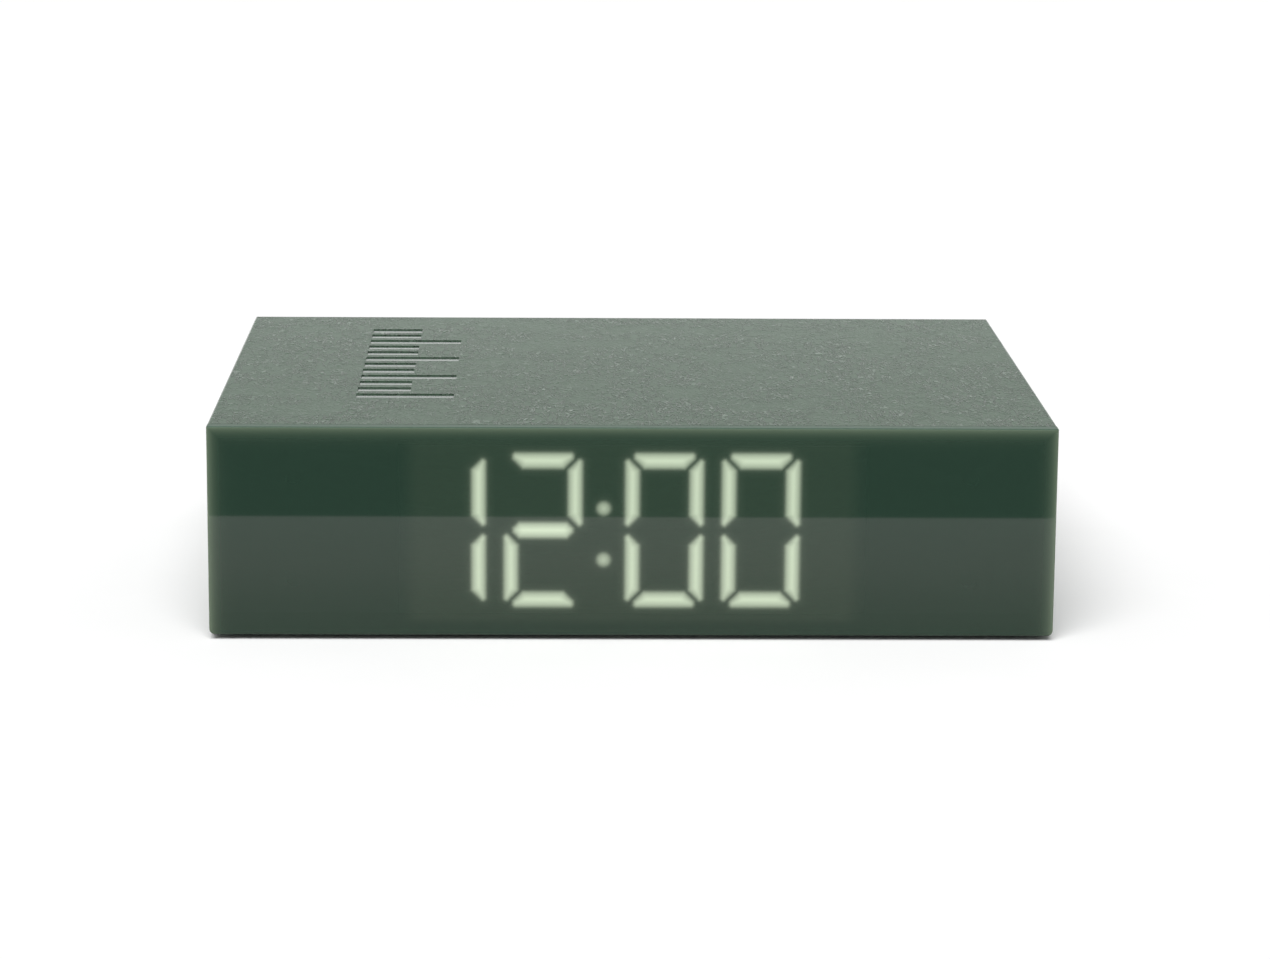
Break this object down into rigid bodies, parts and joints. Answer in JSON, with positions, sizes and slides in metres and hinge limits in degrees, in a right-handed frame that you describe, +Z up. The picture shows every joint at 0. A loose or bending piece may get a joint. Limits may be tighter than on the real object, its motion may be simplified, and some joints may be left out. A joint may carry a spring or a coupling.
{
  "type": "digital alarm clock",
  "caption": "Book-shaped alarm clock with a see-through glossy spine that shows seven-segment LED digits, a grained cover board, rear keys and a battery door.",
  "frame": {"origin": "middle of the footprint, on the plane of the feet", "axes": "+X along the spine to the viewer's right, +Y from the display to the rear keys, +Z up"},
  "size_m": [0.13, 0.1, 0.0334],
  "materials": {
    "lens_gloss": "polished, see-through dark green",
    "cover_grain": "fine leather grain, grey-green",
    "page_edge": "satin, lined",
    "foot_rubber": "matte",
    "screw_steel": "zinc plated",
    "guide_white": "matte white",
    "segment_glow": "frosted, lit from behind",
    "segment_dark": "frosted",
    "film": "milky film",
    "board_green": "green solder mask",
    "led_white": "white with a yellow phosphor",
    "chip_black": "moulded black",
    "can_metal": "drawn, nickel plated",
    "key_plastic": "fine satin",
    "slider_pale": "satin",
    "basket_steel": "black coated",
    "cone_paper": "pressed paper",
    "lead_pvc": "red sleeve",
    "cell_sleeve": "plain shrink sleeve",
    "contact_nickel": "nickel plated spring steel"
  },
  "bodies": {
    "case": {"front_lens": "lens_gloss", "top_cover": "cover_grain", "page_frame": "page_edge", "base_cover": "cover_grain", "rubber_feet": "foot_rubber", "case_screws": "screw_steel", "light_guide": "guide_white", "lit_segments": "segment_glow", "dark_segments": "segment_dark", "diffuser_film": "film", "display_board": "board_green", "led_chips": "led_white", "display_screws": "screw_steel", "display_ribbon": "guide_white", "ribbon_sockets": "guide_white", "main_board": "board_green", "board_screws": "screw_steel", "processor_chip": "chip_black", "crystal": "can_metal", "capacitor": "chip_black", "tap_sensor": "can_metal", "switch_bodies": "chip_black", "slide_body": "can_metal", "usb_shell": "can_metal", "usb_tongue": "chip_black", "speaker_basket": "basket_steel", "speaker_cone": "cone_paper", "speaker_magnet": "basket_steel", "speaker_lead": "lead_pvc", "battery_lead": "lead_pvc", "battery_cells": "cell_sleeve", "plate_contacts": "contact_nickel", "leaf_contacts": "contact_nickel"},
    "door": {"battery_door": "cover_grain"},
    "set_key": {"set_button": "key_plastic", "set_plunger": "guide_white"},
    "alarm_key": {"alarm_button": "key_plastic", "alarm_plunger": "guide_white"},
    "plus_key": {"plus_button": "key_plastic", "plus_plunger": "guide_white"},
    "minus_key": {"minus_button": "key_plastic", "minus_plunger": "guide_white"},
    "alarm_switch": {"alarm_slider": "slider_pale", "slide_lever": "chip_black"}
  },
  "joints": [
    {"name": "door_hinge", "type": "hinge", "parent": "case", "child": "door", "pos_m": [0, -0.0155, 0.0008], "axis": [-1, 0, 0], "range_deg": [0, 75]},
    {"name": "set_press", "type": "slide", "parent": "case", "child": "set_key", "axis": [0, -1, 0], "range_m": [0, 0.0005], "stiffness_N_per_m": 400, "springref_m": -0.0005},
    {"name": "alarm_press", "type": "slide", "parent": "case", "child": "alarm_key", "axis": [0, -1, 0], "range_m": [0, 0.0005], "stiffness_N_per_m": 400, "springref_m": -0.0005},
    {"name": "plus_press", "type": "slide", "parent": "case", "child": "plus_key", "axis": [0, -1, 0], "range_m": [0, 0.0005], "stiffness_N_per_m": 400, "springref_m": -0.0005},
    {"name": "minus_press", "type": "slide", "parent": "case", "child": "minus_key", "axis": [0, -1, 0], "range_m": [0, 0.0005], "stiffness_N_per_m": 400, "springref_m": -0.0005},
    {"name": "alarm_slide", "type": "slide", "parent": "case", "child": "alarm_switch", "axis": [1, 0, 0], "range_m": [0, 0.004]}
  ]
}
